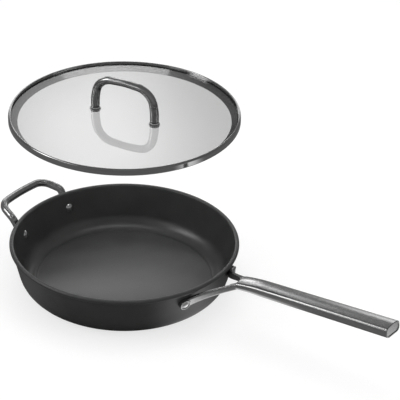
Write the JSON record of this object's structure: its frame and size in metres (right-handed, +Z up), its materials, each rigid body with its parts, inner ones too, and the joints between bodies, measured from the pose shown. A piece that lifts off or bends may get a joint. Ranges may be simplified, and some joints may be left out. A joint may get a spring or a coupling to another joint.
{
  "type": "saute pan with lid",
  "caption": "Round saute pan with leaning wall, long riveted fork handle, small loop helper handle, and a flat glass lid in a steel ring hovering above the rim.",
  "frame": {"origin": "centre of the flat base, on the surface it stands on", "axes": "+Z up out of the pan, +X along the long handle, helper handle towards -X"},
  "size_m": [0.5361, 0.268, 0.267],
  "materials": {
    "hard_coat": "hard-anodised aluminium, dark satin coat",
    "base_steel": "lathe-brushed",
    "handle_steel": "polished satin",
    "cap_steel": "plain satin, bare",
    "rivet_steel": "polished",
    "ring_steel": "polished",
    "lid_glass": "clear tempered",
    "lid_bar_steel": "polished satin",
    "fitting_steel": "polished",
    "gasket_rubber": "matt translucent grey"
  },
  "bodies": {
    "pan": {"pan_body": "hard_coat", "base_plate": "base_steel", "long_handle": "handle_steel", "handle_end_cap": "cap_steel", "long_rivet_left": "rivet_steel", "long_rivet_right": "rivet_steel", "helper_handle": "handle_steel", "helper_rivet_left": "rivet_steel", "helper_rivet_right": "rivet_steel"},
    "lid": {"lid_ring": "ring_steel", "lid_glass": "lid_glass", "lid_handle": "lid_bar_steel", "lid_collar_front": "fitting_steel", "lid_collar_back": "fitting_steel", "lid_top_gasket_front": "gasket_rubber", "lid_top_gasket_back": "gasket_rubber", "lid_bottom_gasket_front": "gasket_rubber", "lid_bottom_gasket_back": "gasket_rubber", "lid_washer_front": "fitting_steel", "lid_washer_back": "fitting_steel", "lid_screw_front": "fitting_steel", "lid_screw_back": "fitting_steel"}
  },
  "joints": [
    {"name": "lid_lift", "type": "slide", "parent": "pan", "child": "lid", "axis": [0, 0, 1], "range_m": [-0.1592, 0.12]}
  ]
}
